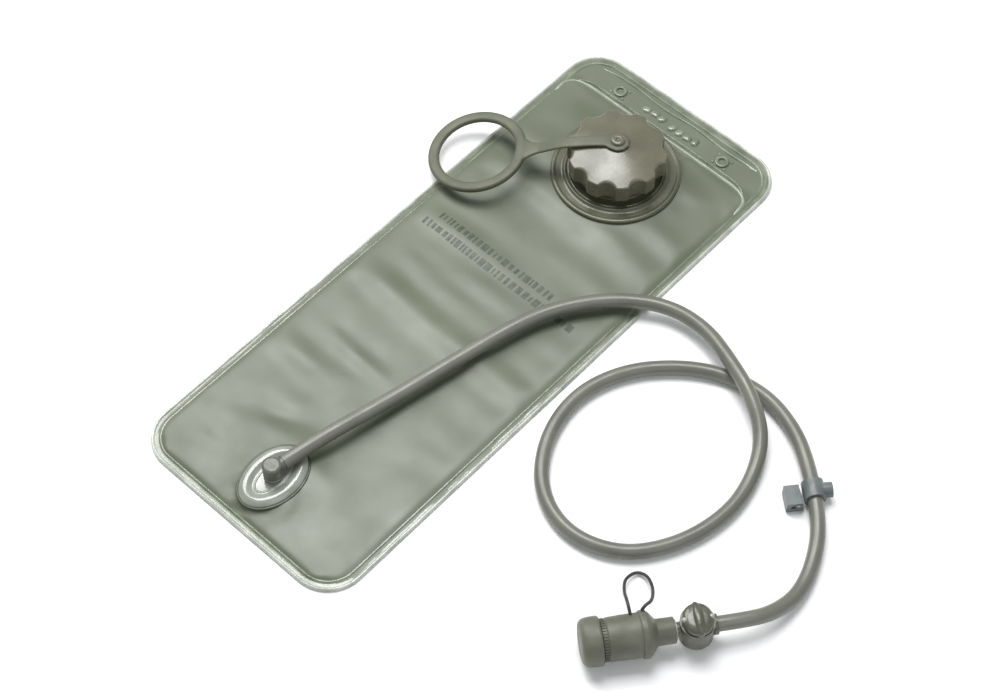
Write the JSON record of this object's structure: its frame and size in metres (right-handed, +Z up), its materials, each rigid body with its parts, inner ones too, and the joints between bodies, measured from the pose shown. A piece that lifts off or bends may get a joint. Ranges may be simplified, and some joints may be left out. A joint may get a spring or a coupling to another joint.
{
  "type": "hydration bladder",
  "caption": "Flat film water reservoir with a threaded scalloped filler cap on a tether, an outlet with a long drink hose, a hose clip, a shut-off valve and a covered bite valve.",
  "frame": {"origin": "middle of the reservoir's flat back face, with the reservoir lying on it", "axes": "+Y along the reservoir towards its filler end, +Z up out of the front film, +X across towards the drink hose"},
  "size_m": [0.3961, 0.432, 0.0409],
  "materials": {
    "film": "translucent sage-green film, soft gloss",
    "film_edge": "welded film, pale and glossy",
    "clear_plastic": "clear moulded plastic, polished",
    "olive_plastic": "moulded olive plastic, satin",
    "cap_plastic": "moulded dark olive-brown plastic, satin",
    "tether_rubber": "soft olive rubber",
    "hose_tube": "grey-olive flexible tube, satin",
    "silicone": "soft translucent silicone",
    "clip_plastic": "moulded grey-blue plastic",
    "valve_plastic": "moulded dark olive plastic",
    "cover_plastic": "moulded dark olive plastic, fine texture",
    "loop_cord": "thin dark cord",
    "steel": "plain stainless steel"
  },
  "bodies": {
    "root": {"back_film": "film", "front_film": "film", "edge_weld": "film_edge", "header_strip": "film_edge", "hanger_eyelets": "clear_plastic", "filler_port": "olive_plastic", "outlet_base": "clear_plastic", "outlet_seal": "silicone", "outlet_elbow": "clear_plastic", "drink_hose": "hose_tube", "valve_body": "valve_plastic", "bite_valve": "silicone", "cover_barrel": "cover_plastic", "loop_band": "tether_rubber", "pull_loop": "loop_cord"},
    "cap_carrier": {"cap_rivet": "cap_plastic"},
    "cap": {"filler_cap": "cap_plastic", "cap_gasket": "silicone"},
    "tether": {"cap_tether": "tether_rubber"},
    "clip": {"clip_collar": "clip_plastic", "clip_base": "clip_plastic", "clip_pin": "steel", "clip_spring": "steel"},
    "jaw": {"clip_jaw": "clip_plastic"},
    "shutoff": {"valve_plug": "valve_plastic", "valve_seals": "silicone", "valve_knob": "valve_plastic", "knob_screw": "steel"},
    "dust_cap": {"cover_cap": "cover_plastic"}
  },
  "joints": [
    {"name": "cap_lift", "type": "slide", "parent": "root", "child": "cap_carrier", "axis": [0, 0, 1], "range_m": [0, 0.012]},
    {"name": "cap_turn", "type": "hinge", "parent": "cap_carrier", "child": "cap", "pos_m": [0, 0.139, 0.016], "axis": [0, 0, 1], "range_deg": [0, 720]},
    {"name": "tether_swivel", "type": "hinge", "parent": "cap_carrier", "child": "tether", "pos_m": [0, 0.139, 0.0379], "axis": [0, 0, 1], "range_deg": [-180, 50]},
    {"name": "clip_swivel", "type": "hinge", "parent": "root", "child": "clip", "pos_m": [0.24816, 0.03564, 0.0072], "axis": [-0.7578, 0.6525, 0], "range_deg": [0, 150]},
    {"name": "clip_open", "type": "hinge", "parent": "clip", "child": "jaw", "pos_m": [0.24131, 0.02768, 0.0059], "axis": [-0.7578, 0.6525, 0], "range_deg": [0, 20], "stiffness_Nm_per_rad": 0.02, "springref_deg": -17.19},
    {"name": "shutoff_turn", "type": "hinge", "parent": "root", "child": "shutoff", "pos_m": [0.25604, -0.0849, 0.015], "axis": [0, 0, 1], "range_deg": [0, 90]},
    {"name": "dust_cap_pull", "type": "slide", "parent": "root", "child": "dust_cap", "axis": [-0.622, -0.783, 0], "range_m": [0, 0.03]}
  ],
  "couplings": [
    {"joint": "cap_lift", "follows": "cap_turn", "m_per_rad": 0.00095493}
  ]
}
